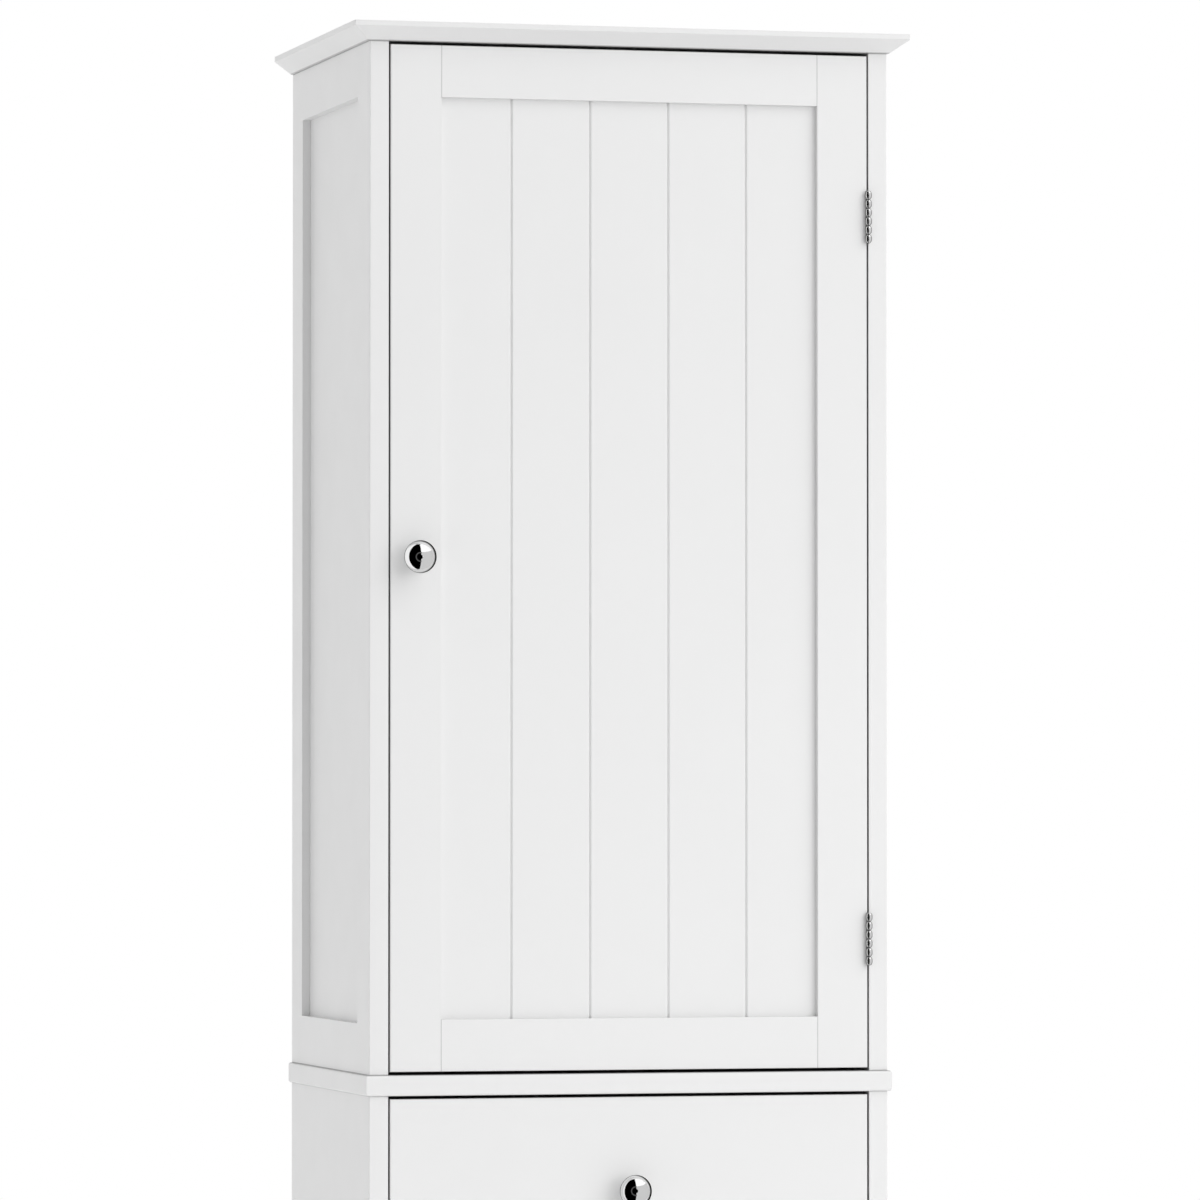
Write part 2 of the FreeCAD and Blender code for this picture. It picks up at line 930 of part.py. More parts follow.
def make_knob(name, x, level):
    """A turned knob: a base, a straight neck and a domed head, with its stud in the wood."""
    body = new_body(name, (x, FRONT, level))
    dome_rise = S.knob_projection - S.knob_rim_level
    dome_radius = (S.knob_radius * S.knob_radius + dome_rise * dome_rise) / (dome_rise * 2)
    points = [
        (0, S.knob_stud_length),
        (S.knob_stud_radius, S.knob_stud_length),
        (S.knob_stud_radius, 0),
        (S.knob_base_radius, 0),
        (S.knob_base_radius, -S.knob_base_thickness),
        (S.knob_neck_radius, -S.knob_base_thickness),
        (S.knob_neck_radius, -S.knob_neck_length),
        (S.knob_head_radius, -S.knob_head_level),
        (S.knob_radius, -S.knob_rim_level),
        (0, -S.knob_projection),
    ]
    rim, dome = 7, 8
    arcs = {rim: (S.knob_rim_rounding, 1), dome: (dome_radius, 1)}
    sketch = outline(body, name + "_profile", points, arcs)
    turn = body.newObject("PartDesign::Revolution", name + "_turning")
    turn.Profile = sketch
    turn.ReferenceAxis = (sketch, ["V_Axis"])
    turn.Angle = 360
    return keep(body)


def make_knobs():
    latch = DOOR_LEFT + S.stile_width / 2
    make_knob("upper_door_knob", latch, UPPER_FLOOR + S.upper_opening / 2)
    make_knob("lower_door_knob", latch, LOWER_FLOOR + S.lower_opening / 2)
    make_knob("drawer_knob", dim(0), DRAWER_FLOOR + S.drawer_opening / 2)


# ---------------------------------------------------------------- shelves


def make_shelves():
    """Loose shelves that lie on four pins each."""
    front = DOOR_BACK + S.shelf_setback
    size = (
        INNER_WIDTH - S.shelf_play * 2,
        INSIDE_BACK - S.shelf_play - front,
        S.shelf_thickness,
    )
    supports = []
    columns = {
        "front": FRONT + S.front_post_width - S.pin_hole_inset,
        "rear": BACK - S.rear_post_width + S.pin_hole_inset,
    }
    for section, shelves in (("upper", UPPER_SHELVES), ("lower", LOWER_SHELVES)):
        for shelf, level in shelves.items():
            name = f"{section}_{shelf}"
            underside = level + S.pin_hole_radius - S.support_play
            body = new_body(name, (INNER_LEFT + S.shelf_play, front, underside))
            block(body, "Additive", name + "_stock", size)
            rounded = [lambda p: near(p.z, 0), lambda p: near(p.z, S.shelf_thickness.value)]
            soften_frame_edges(body, S.edge_rounding, rounded)
            keep(body)
            for column, y in columns.items():
                for side, x, along in (("left", INNER_LEFT, 1), ("right", INNER_RIGHT, -1)):
                    pin = f"{name}_{side}_{column}_pin"
                    supports.append(shelf_pin(pin, (x, y, level), along))
    group("shelf_pins", supports)


def shelf_pin(name, at, way):
    """A plain metal pin in its hole, with a stub under the shelf."""
    body = new_body(name, at)
    radius = S.pin_hole_radius - S.support_play
    inside = S.pin_hole_depth - S.support_end_play
    along = "+X" if way > 0 else "-X"
    length = inside + S.support_reach
    rod(body, "Additive", name + "_stem", radius, length, (-inside * way, 0, 0), along)
    return body


# ---------------------------------------------------------------- drawer


def make_drawer():
    """A grooved box that slides on two strips, behind a plain front."""
    front_height = S.drawer_opening - S.door_end_gap * 2
    bottom_edge = DRAWER_FLOOR + S.door_end_gap
    front = new_body("drawer_front", (DOOR_LEFT, FRONT, bottom_edge))
    block(
        front, "Additive", "drawer_front_stock", (DOOR_WIDTH, S.door_thickness, front_height)
    )
    wall = S.drawer_wall
    groove = S.drawer_groove_depth
    slot = S.drawer_bottom_thickness
    rise = S.drawer_bottom_rise
    level = bottom_edge + S.drawer_lift
    box_left = INNER_LEFT + S.drawer_side_play
    box_width = INNER_WIDTH - S.drawer_side_play * 2
    box_depth = INSIDE_BACK - S.drawer_back_play - DOOR_BACK
    inner_width = box_width - wall * 2
    inner_depth = box_depth - wall
    block(
        front,
        "Subtractive",
        "drawer_front_groove",
        (inner_width + groove * 2, groove, slot),
        (box_left + wall - groove - DOOR_LEFT, S.door_thickness - groove, S.drawer_lift + rise),
    )
    rod(
        front,
        "Subtractive",
        "drawer_front_knob_hole",
        S.knob_stud_radius + S.knob_stud_play,
        S.knob_stud_length + S.knob_stud_play,
        (DOOR_WIDTH / 2, 0, front_height / 2),
        "+Y",
    )
    edge = [
        lambda p: near(p.x, 0),
        lambda p: near(p.x, DOOR_WIDTH.value),
        lambda p: near(p.z, 0),
        lambda p: near(p.z, front_height.value),
    ]
    soften_frame_edges(front, S.edge_rounding, edge)
    keep(front)
    runner_slot = S.runner_height + S.runner_play * 2
    for side in ("left", "right"):
        name = f"drawer_{side}_side"
        left = side == "left"
        x = box_left if left else box_left + box_width - wall
        body = new_body(name, (x, DOOR_BACK, level))
        block(body, "Additive", name + "_stock", (wall, box_depth, S.drawer_wall_height))
        block(
            body,
            "Subtractive",
            name + "_bottom_groove",
            (groove, box_depth, slot),
            (wall - groove if left else 0, 0, rise),
        )
        block(
            body,
            "Subtractive",
            name + "_runner_groove",
            (groove, box_depth, runner_slot),
            (0 if left else wall - groove, 0, S.runner_rise - S.runner_play),
        )
        keep(body)
    back = new_body("drawer_back", (box_left + wall, DOOR_BACK + box_depth - wall, level))
    block(back, "Additive", "drawer_back_stock", (inner_width, wall, S.drawer_wall_height))
    block(
        back,
        "Subtractive",
        "drawer_back_groove",
        (inner_width, groove, slot),
        (0, 0, rise),
    )
    keep(back)
    bite = groove - S.panel_play
    bottom = new_body(
        "drawer_bottom", (box_left + wall - bite, DOOR_BACK - bite, level + rise)
    )
    block(
        bottom,
        "Additive",
        "drawer_bottom_stock",
        (inner_width + bite * 2, inner_depth + bite * 2, slot),
    )
    keep(bottom)
    make_runners(level + S.runner_rise)


def make_runners(level):
    """The strips on the posts that the grooves of the drawer's sides slide along."""
    strips = []
    start = DOOR_BACK + S.runner_play
    reach = S.drawer_side_play + S.drawer_groove_depth - S.tenon_play
    for side, x in (("left", INNER_LEFT), ("right", INNER_RIGHT - reach)):
        name = f"drawer_{side}_runner"
        body = new_body(name, (x, start, level))
        block(
            body, "Additive", name + "_stock", (reach, INSIDE_BACK - start, S.runner_height)
        )
        strips.append(body)
    group("drawer_runners", strips)


# ---------------------------------------------------------------- catches


def make_catches():
    """A magnetic catch behind the top of each door's latch stile, and the plate it holds."""
    catches = []
    levels = {
        "upper": CROWN_LEVEL - S.catch_below_top,
        "lower": DIVIDER_LEVEL - S.catch_below_top,
    }
    plate_back = DOOR_BACK + S.catch_plate_thickness
    for door, level in levels.items():
        name = f"{door}_catch"
        body = new_body(name, (INNER_LEFT, plate_back + S.catch_air, level))
        ear = (S.catch_ear_thickness, S.catch_depth, S.catch_height)
        magnet = (S.catch_width, S.catch_depth, S.catch_magnet_height)
        block(body, "Additive", name + "_ears", ear, (0, 0, -S.catch_height / 2))
        block(
            body, "Additive", name + "_housing", magnet, (0, 0, -S.catch_magnet_height / 2)
        )
        catches.append(body)
        plate = new_body(
            f"{door}_door_catch_plate",
            (DOOR_LEFT + S.catch_plate_inset, DOOR_BACK, level - S.catch_plate_height / 2),
        )
        block(
            plate,
            "Additive",
            f"{door}_catch_plate_stock",
            (S.catch_plate_width, S.catch_plate_thickness, S.catch_plate_height),
        )
        keep(plate)
    group("door_catches", catches)


# ---------------------------------------------------------------- the whole cabinet


def write_parts():
    """Check every object, then write each piece to its own file."""
    doc.recompute()
    for thing in doc.Objects:
        if "Invalid" in thing.State or "Error" in thing.State:
            raise RuntimeError(f"{thing.Label} did not build")
    for piece in NODES:
        if piece.Shape.isNull() or not piece.Shape.isValid():
            raise RuntimeError(f"{piece.Label} has no valid shape")
    os.makedirs("parts", exist_ok=True)
    for piece in NODES:
        piece.Shape.exportStep(f"parts/{piece.Label}.step")


make_crown()
make_waist()
make_inner_board("drawer_divider", DIVIDER_LEVEL)
make_inner_board("bottom_board", S.base_height)
make_back()
make_wall_rail()
make_apron()
make_sides()
make_door("upper_door", UPPER_FLOOR, S.upper_opening)
make_door("lower_door", LOWER_FLOOR, S.lower_opening)
make_hinges()
make_knobs()
make_shelves()
make_drawer()
make_catches()
write_parts()
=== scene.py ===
"""A tall bathroom cabinet in white satin paint, seen from its left front in a plain white studio.

Metres, in the cabinet's own frame: X to the right, Y to the back, Z up, and Z = 0 on the floor.
"""

import json
import math

import bmesh
import bpy
from mathutils import Matrix, Vector


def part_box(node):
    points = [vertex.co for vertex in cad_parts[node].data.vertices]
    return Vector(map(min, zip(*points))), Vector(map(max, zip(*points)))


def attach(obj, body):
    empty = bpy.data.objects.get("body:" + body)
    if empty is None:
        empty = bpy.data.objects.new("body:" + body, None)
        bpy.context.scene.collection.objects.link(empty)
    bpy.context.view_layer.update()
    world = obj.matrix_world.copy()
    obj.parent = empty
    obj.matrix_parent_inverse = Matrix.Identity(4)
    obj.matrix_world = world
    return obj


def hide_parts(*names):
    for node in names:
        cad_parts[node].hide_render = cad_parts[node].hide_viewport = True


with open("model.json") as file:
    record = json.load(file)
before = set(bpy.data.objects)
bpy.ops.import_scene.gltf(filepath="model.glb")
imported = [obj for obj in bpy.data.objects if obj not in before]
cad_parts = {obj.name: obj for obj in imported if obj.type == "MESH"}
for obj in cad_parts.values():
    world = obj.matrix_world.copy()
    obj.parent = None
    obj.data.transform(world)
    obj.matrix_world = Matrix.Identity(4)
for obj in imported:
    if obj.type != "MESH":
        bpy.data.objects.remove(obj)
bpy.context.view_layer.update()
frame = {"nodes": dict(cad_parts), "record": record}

MM = 0.001
UP = Vector((0, 0, 1))

# The camera, fitted to the straight edges of the photograph.
IMAGE_SIDE = 1200  # pixels
FOCAL_LENGTH = 7324  # pixels
SENSOR_WIDTH = 36  # mm
CAMERA_PLACE = Vector((-1.438, -5.606, 1.111))
CAMERA_YAW = math.radians(14.47)  # to the right of straight ahead
CAMERA_PITCH = math.radians(1.48)  # above level

# The studio.
AMBIENT = 0.705
KEY_DIRECTION = Vector((0.45, -0.70, 0.46))  # from the cabinet to the light
KEY_SPREAD = math.radians(70)
KEY_STRENGTH = 1.57
STUDIO_MIDDLE = Vector((0, 0, 1.1))
FLOOR_TONE = 0.96
FLOOR_GLOW = 0.18
FLOOR_CLEAR_RADIUS = 0.9  # the floor keeps its shadow up to here, and then fades into the white
FLOOR_WHITE_RADIUS = 2.6
FLOOR_REACH = 6.0
CARD_STEP = 6  # degrees between the lines of a card's mesh

# The finishes.
WHITE = 0.81
SATIN = 0.36
PEEL_DEPTH = 0.02 * MM
EDGE_RADIUS = 0.5 * MM
CREVICE_SHADE_REACH = 12 * MM  # how far apart the walls of a crevice stand at most for painted shade
# The tone of the painted crevice shade, as a share of the paint's own tone.
CREVICE_SHADE_TONE = 0.3
# How close the walls of the plating's crevices stand to get painted shade.
PLATING_CREVICE_SHADE_REACH = 1.5 * MM
HARDBOARD = 0.78
HARDBOARD_SEAM_SHADE = (1.0 * MM, 0.6)  # the width of its painted shade lines, and their tone
BEECH = (0.68, 0.50, 0.34, 1.0)
DARK_BEECH = (0.50, 0.33, 0.20, 1.0)
BEECH_FLECK = (0.38, 0.23, 0.13, 1.0)

# The butt hinges, as in the solids.
HINGE_HEIGHT = 41 * MM
HINGE_REACH = 17.95 * MM  # from the pin's axis to the far edge of a leaf
KNUCKLES = 6
KNUCKLE_GAP = 0.3 * MM
KNUCKLE_NOTCH = 2.95 * MM
BARREL_RADIUS = 2.6 * MM
LEAF_GAP = 0.3 * MM
LEAF_THICKNESS = 1.2 * MM
SCREW_REACH = 10.45 * MM  # from the pin's axis to the screws
SCREW_SPACING = 24 * MM
COUNTERSINK_RADIUS = 2.7 * MM

# The bulge of their knuckles, which the solids don't have.
KNUCKLE_BULGE = 1.2 * MM  # how much thinner the ends are than the middle
KNUCKLE_STEPS = 12
BULGE_POWER = 3  # the higher, the longer the straight middle

# The screws. A recess has the shape of a plus.
CROSS_REACH = 0.56  # of the head's radius
CROSS_HALF_WIDTH = 0.15
CROSS_TAPER = 0.6
SUNK_RADIUS = 2.5 * MM
SUNK_DEPTH = 0.05 * MM  # of a countersunk head's top, below the face of its leaf
SUNK_RECESS = 0.7 * MM
SUNK_SIDES = [(2.62 * MM, -0.15 * MM), (1.6 * MM, -1.1 * MM)]
PAN_TOP = 0.75  # of the head's radius
PAN_RECESS = 0.8  # of the head's height
PAN_SIDES = [(0.93, 0.25), (1, 0.65), (1, 1)]  # of the radius, and of the height below the top

# The screws of the catches and of their strike plates, above and below their middles.
CATCH_SCREW_RISE = 18 * MM
CATCH_SCREW_HEAD = (2.8 * MM, 1.5 * MM)  # radius and height
CATCH_EAR_THICKNESS = 3 * MM
PLATE_SCREW_RISE = 15.5 * MM
PLATE_SCREW_HEAD = (2.2 * MM, 0.3 * MM)

ROUND_STEPS = 32
SHARP_ANGLE = math.radians(40)


# ---------------------------------------------------------------- node trees


class Graph:
    """The node tree of a material or a world, with short ways to add nodes."""

    def __init__(self, owner):
        owner.use_nodes = True
        self.tree = owner.node_tree
        self.nodes = self.tree.nodes

    def add(self, kind, **settings):
        node = self.nodes.new("ShaderNode" + kind)
        for name, value in settings.items():
            setattr(node, name, value)
        return node

    def put(self, value, socket):
        """Link another node's output to a socket, or set the socket's own value."""
        if isinstance(value, bpy.types.NodeSocket):
            self.tree.links.new(value, socket)
        else:
            socket.default_value = value

    def feed(self, node, **inputs):
        for name, value in inputs.items():
            self.put(value, node.inputs[name.replace("_", " ")])
        return node

    def position(self, scale=(1.0, 1.0, 1.0)):
        """Places on the piece itself, so that a pattern moves with the piece."""
        mapping = self.add("Mapping")
        self.feed(mapping, Vector=self.add("TexCoord").outputs["Object"], Scale=scale)
        return mapping.outputs["Vector"]

    def along(self, axis):
        """How far along an axis a place on the piece lies."""
        split = self.add("SeparateXYZ")
        self.put(self.position(), split.inputs[0])
        return split.outputs[axis]

    def noise(self, scale, detail=2.0, stretch=(1.0, 1.0, 1.0)):
        node = self.add("TexNoise")
        self.feed(node, Vector=self.position(stretch), Scale=scale, Detail=detail)
        return node.outputs["Fac"]

    def ramp(self, factor, low, high, start=0.3, end=0.7):
        """A value that goes from low to high as the factor goes from start to end."""
        node = self.add("MapRange")
        self.feed(node, Value=factor, From_Min=start, From_Max=end, To_Min=low, To_Max=high)
        return node.outputs["Result"]

    def blend(self, factor, first, second):
        """A colour between two others."""
        node = self.add("MixRGB")
        self.feed(node, Fac=factor, Color1=first, Color2=second)
        return node.outputs["Color"]

    def combine(self, operation, first, second):
        node = self.add("Math", operation=operation)
        self.put(first, node.inputs[0])
        self.put(second, node.inputs[1])
        return node.outputs["Value"]

    def rim(self, colour, dark, start, end, share=1.0):
        """Painted dark reflection: the plating's colour drops where the surface turns away,
        standing in for the shadowed surroundings it mirrors there.

        share says how much of that painted darkening a place gets, from 0 to 1.
        """
        facing = self.add("LayerWeight").outputs["Facing"]
        painted_rim_shade = self.combine("MULTIPLY", self.ramp(facing, 0, 1, start, end), share)
        return self.blend(painted_rim_shade, colour, dark)

    def paint_crevice_shade(self, colour, dark, reach, start, end):
        """Painted shade: a colour that turns dark where ambient occlusion finds the walls of a
        crevice close together.
        """
        openness = self.add("AmbientOcclusion", samples=8)
        self.feed(openness, Distance=reach)
        return self.blend(self.ramp(openness.outputs["AO"], 0, 1, start, end), dark, colour)

    def relief(self, height, depth, edge=0.0):
        """A normal from a height pattern, over edges that are softened by a small radius."""
        bump = self.add("Bump")
        self.feed(bump, Height=height, Distance=depth)
        if edge:
            softened = self.add("Bevel", samples=6)
            self.feed(softened, Radius=edge)
            self.feed(bump, Normal=softened.outputs["Normal"])
        return bump.outputs["Normal"]


def new_material(name):
    made = bpy.data.materials.new(name)
    graph = Graph(made)
    return made, graph, graph.nodes["Principled BSDF"]


def grey(level, warmth=0.0):
    return (level + warmth, level, level - warmth, 1.0)


# ---------------------------------------------------------------- materials


def paint_seam_shade(graph, tone, level, axis, seam_shades):
    """The tone with painted shade: fine dark lines where a piece meets its neighbours, standing in
    for the shade in the joint.

    seam_shades gives places along an axis, each with the width and the tone of its painted shade
    line.
    """
    there = graph.along(axis)
    # Each line is painted shade, darkest at the joint and fading out within its width.
    for place, width, seam_shade_tone in seam_shades:
        away = graph.combine("SUBTRACT", there, place)
        away = graph.combine("ABSOLUTE", away, 0.0)
        clear = graph.ramp(away, 0, 1, start=width * 0.4, end=width)
        tone = graph.blend(clear, grey(level * seam_shade_tone), tone)
    return tone


def make_paint(name, level, roughness, peel, edge, axis="Z", seam_shades=()):
    """Sprayed satin paint: orange peel, faint drifts of tone, painted shade in crevices and
    painted shade lines along its joints.
    """
    made, graph, shader = new_material(name)
    drift = graph.ramp(graph.noise(scale=5.0, detail=4.0), 0, 1)
    tone = graph.blend(drift, grey(level - 0.008), grey(level + 0.004))
    crevice_shade = grey(level * CREVICE_SHADE_TONE)
    # Painted shade where walls stand close, from ambient occlusion.
    tone = graph.paint_crevice_shade(tone, crevice_shade, CREVICE_SHADE_REACH, start=0.06, end=0.22)
    peel_height = graph.combine("ADD", graph.noise(scale=620.0), graph.noise(scale=2400.0))
    wiped = graph.noise(scale=34.0, detail=5.0)
    graph.feed(
        shader,
        Base_Color=paint_seam_shade(graph, tone, level, axis, seam_shades),
        Roughness=graph.ramp(wiped, roughness - 0.04, roughness + 0.05),
        Normal=graph.relief(peel_height, peel, edge),
    )
    return made


def make_hardboard(across, up):
    """Coated hardboard: white, with a trace of the pressed fibres below, and painted shade lines
    along its edges where it meets the carcass.
    """
    made, graph, shader = new_material("white_hardboard")
    fibres = graph.noise(scale=420.0, detail=6.0, stretch=(1.0, 1.0, 0.45))
    drift = graph.ramp(graph.noise(scale=7.0, detail=4.0), 0, 1)
    tone = graph.blend(drift, grey(HARDBOARD - 0.025, warmth=0.002), grey(HARDBOARD))
    tone = paint_seam_shade(graph, tone, HARDBOARD, "X", across)
    graph.feed(
        shader,
        Base_Color=paint_seam_shade(graph, tone, HARDBOARD, "Z", up),
        Roughness=graph.ramp(fibres, 0.5, 0.68),
        Normal=graph.relief(fibres, depth=0.12 * MM),
    )
    return made


def make_hardwood():
    """Planed beech with its grain along Y, and the short dark flecks of its rays."""
    made, graph, shader = new_material("bare_hardwood")
    grain = graph.noise(scale=90.0, detail=6.0, stretch=(1.0, 0.05, 1.0))
    flecks = graph.noise(scale=700.0, stretch=(1.0, 0.12, 1.0))
    wood = graph.blend(graph.ramp(grain, 0, 1), BEECH, DARK_BEECH)
    flecked = graph.ramp(flecks, 0, 1, start=0.62, end=0.72)
    graph.feed(
        shader,
        Base_Color=graph.blend(flecked, wood, BEECH_FLECK),
        Roughness=graph.ramp(grain, 0.42, 0.6),
        Normal=graph.relief(grain, depth=0.08 * MM, edge=0.3 * MM),
    )
    return made


def make_chrome():
    """Polished chrome plate with a painted dark reflection towards its rim, and the faintest haze
    of scratches.
    """
    made, graph, shader = new_material("chrome")
    scratches = graph.noise(scale=900.0, detail=3.0, stretch=(1.0, 1.0, 9.0))
    haze = graph.noise(scale=160.0, detail=4.0)
    graph.feed(
        shader,
        # Painted dark reflection towards the rim.
        Base_Color=graph.rim(grey(0.86), grey(0.12), start=0.48, end=0.6),
        Metallic=1.0,
        # The dark specular tint also darkens the grazing reflection: more painted dark reflection
        # at the rim.
        Specular_Tint=grey(0.1),
        Roughness=graph.ramp(haze, 0.02, 0.05),
        Normal=graph.relief(scratches, depth=0.002 * MM),
    )
    return made


def make_plated_steel(name, level, metallic, roughness, stretch, round_until=None):
    """Bright plated steel, finely brushed along one direction, with painted shade in its crevices
    and a painted dark reflection at its rims.

    round_until gives the Y where the round barrels end and the flat plates begin; only the barrels
    get the painted dark reflection.
    """
    made, graph, shader = new_material(name)
    share = 1.0
    if round_until is not None:
        flat_from = round_until + 0.4 * MM
        share = graph.ramp(graph.along("Y"), 1, 0, start=round_until, end=flat_from)
    brushed = graph.noise(scale=2600.0, detail=3.0, stretch=stretch)
    plating = graph.blend(brushed, grey(level - 0.05), grey(level + 0.05))
    plating_crevice_shade = grey(level * 0.15)
    # Painted shade where the knuckles and the plates stand close.
    plating = graph.paint_crevice_shade(plating, plating_crevice_shade, PLATING_CREVICE_SHADE_REACH, start=0.35, end=0.8)
    graph.feed(
        shader,
        # Painted dark reflection at the rims of the barrels.
        Base_Color=graph.rim(plating, grey(level * 0.2), start=0.3, end=0.5, share=share),
        Metallic=metallic,
        Roughness=graph.ramp(brushed, roughness * 0.7, roughness * 1.3),
        Normal=graph.relief(brushed, depth=0.01 * MM, edge=0.15 * MM),
    )
    return made


def make_plastic():
    """Moulded plastic with a fine grain."""
    made, graph, shader = new_material("catch_plastic")
    grain = graph.noise(scale=3000.0)
    cloud = graph.noise(scale=60.0, detail=3.0)
    graph.feed(
        shader,
        Base_Color=graph.blend(cloud, grey(0.76), grey(0.79)),
        Roughness=graph.ramp(grain, 0.42, 0.6),
        Normal=graph.relief(grain, depth=0.03 * MM, edge=0.3 * MM),
    )
    return made


# Each painted shade line lies along a joint: a place, and the width and the tone of its line.
CROWN_SEAM_SHADE = (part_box("crown_board")[0][2], 0.8 * MM, 0.6)
UPPER_WAIST_SEAM_SHADE = (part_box("waist_board")[1][2], 0.7 * MM, 0.55)
LOWER_WAIST_SEAM_SHADE = (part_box("waist_board")[0][2], 0.5 * MM, 0.7)
RAIL_SEAM_SHADES = [
    (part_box("upper_door_latch_stile")[1][0], 0.6 * MM, 0.55),
    (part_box("upper_door_hinge_stile")[0][0], 0.6 * MM, 0.55),
]
BACK_SIDE_SEAM_SHADES = [(corner[0], *HARDBOARD_SEAM_SHADE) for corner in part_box("back_panel")]
BACK_TOP_SEAM_SHADE = (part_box("back_panel")[1][2], *HARDBOARD_SEAM_SHADE)
BARREL_END_Y = frame["record"]["behaviour"]["joints"][0]["pos_m"][1] + BARREL_RADIUS

MATERIALS = {
    "white_paint": make_paint(
        "white_paint",
        WHITE,
        SATIN,
        PEEL_DEPTH,
        EDGE_RADIUS,
        seam_shades=[CROWN_SEAM_SHADE, UPPER_WAIST_SEAM_SHADE, LOWER_WAIST_SEAM_SHADE],
    ),
    "jointed_paint": make_paint(
        "jointed_paint", WHITE, SATIN, PEEL_DEPTH, EDGE_RADIUS, axis="X", seam_shades=RAIL_SEAM_SHADES
    ),
    "white_board": make_paint(
        "white_board", level=0.79, roughness=0.46, peel=0.04 * MM, edge=0.3 * MM
    ),
    "white_hardboard": make_hardboard(BACK_SIDE_SEAM_SHADES, [BACK_TOP_SEAM_SHADE]),
    "bare_hardwood": make_hardwood(),
    "chrome": make_chrome(),
    "nickel": make_plated_steel(
        "nickel",
        level=0.85,
        metallic=1.0,
        roughness=0.2,
        stretch=(1.0, 1.0, 0.06),
        round_until=BARREL_END_Y,
    ),
    "zinc": make_plated_steel(
        "zinc", level=0.7, metallic=0.6, roughness=0.38, stretch=(0.08, 1.0, 1.0)
    ),
    "catch_plastic": make_plastic(),
}


def finish_cad_nodes():
    """Give every CAD node the material of its slot, and the doors' rails a paint with painted
    shade lines where they meet the stiles.
    """
    for part in frame["record"]["subparts"]:
        name = part["node"]
        is_door_rail = "_door_" in name and name.endswith("_rail")
        finish = "jointed_paint" if is_door_rail else part["material_slot"]
        for slot in frame["nodes"][name].material_slots:
            slot.material = MATERIALS[finish]


# ---------------------------------------------------------------- mesh building


def add_to_scene(name, data):
    thing = bpy.data.objects.new(name, data)
    bpy.context.scene.collection.objects.link(thing)
    return thing


def finish_piece(name, under_way, slot, body, replaced=()):
    """Turn a mesh under way into a named piece that rides on a body."""
    mesh = bpy.data.meshes.new(name)
    bmesh.ops.recalc_face_normals(under_way, faces=under_way.faces)
    under_way.to_mesh(mesh)
    under_way.free()
    mesh.shade_smooth()
    mesh.set_sharp_from_angle(angle=SHARP_ANGLE)
    mesh.materials.append(MATERIALS[slot])
    piece = add_to_scene(name, mesh)
    if replaced:
        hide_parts(*replaced)
    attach(piece, body)


def ring(mesh, place, radius, height):
    """A round of vertices about the Z axis of a place."""
    turns = [2 * math.pi * i / ROUND_STEPS for i in range(ROUND_STEPS)]
    points = [Vector((radius * math.cos(t), radius * math.sin(t), height)) for t in turns]
    return [mesh.verts.new(place @ point) for point in points]


def loop_edges(mesh, loop):
    return [mesh.edges.new((a, b)) for a, b in zip(loop, loop[1:] + loop[:1])]


def bridge(mesh, first, second):
    """Faces between two loops with the same number of vertices."""
    for i in range(len(first)):
        j = (i + 1) % len(first)
        mesh.faces.new((first[i], first[j], second[j], second[i]))


def lathe(mesh, place, profile):
    """A closed solid of revolution about the Z axis of a place, from radii and heights."""
    rings = [ring(mesh, place, radius, height) for radius, height in profile]
    for lower, upper in zip(rings, rings[1:]):
        bridge(mesh, lower, upper)
    mesh.faces.new(rings[0])
    mesh.faces.new(rings[-1])


# ---------------------------------------------------------------- screws


def cross(mesh, place, radius, height):
    """The plus-shaped outline of the recess in a head of some radius."""
    reach, half_width = radius * CROSS_REACH, radius * CROSS_HALF_WIDTH
    quarter = [(reach, -half_width), (reach, half_width), (half_width, half_width)]
    loop = []
    for turn in range(4):
        spin = place @ Matrix.Rotation(turn * math.pi / 2, 4, "Z")
        loop += [mesh.verts.new(spin @ Vector((x, y, height))) for x, y in quarter]
    return loop


def add_head(mesh, place, radius, recess, sides):
    """A screw head with a cross recess in its top, which lies at the place's height 0.

    sides gives the radius and the height of each lower round of its outside.
    """
    rim = ring(mesh, place, radius, 0)
    slot_top = cross(mesh, place, radius, 0)
    slot_foot = cross(mesh, place, radius * CROSS_TAPER, -recess)
    edges = loop_edges(mesh, rim) + loop_edges(mesh, slot_top)
    bmesh.ops.triangle_fill(mesh, use_beauty=True, edges=edges)
    bridge(mesh, slot_top, slot_foot)
    mesh.faces.new(slot_foot)
    for next_radius, height in sides:
        lower = ring(mesh, place, next_radius, height)
        bridge(mesh, rim, lower)
        rim = lower
    mesh.faces.new(rim)


def add_sunk_screw(mesh, place):
    """A countersunk head that fills the hole of a hinge leaf."""
    sunk = place @ Matrix.Translation((0, 0, -SUNK_DEPTH))
    add_head(mesh, sunk, SUNK_RADIUS, SUNK_RECESS, SUNK_SIDES)


def add_pan_screw(mesh, place, radius, height):
    """A pan head that stands on a face."""
    top = place @ Matrix.Translation((0, 0, height))
    sides = [(radius * across, -height * down) for across, down in PAN_SIDES]
    add_head(mesh, top, radius * PAN_TOP, height * PAN_RECESS, sides)


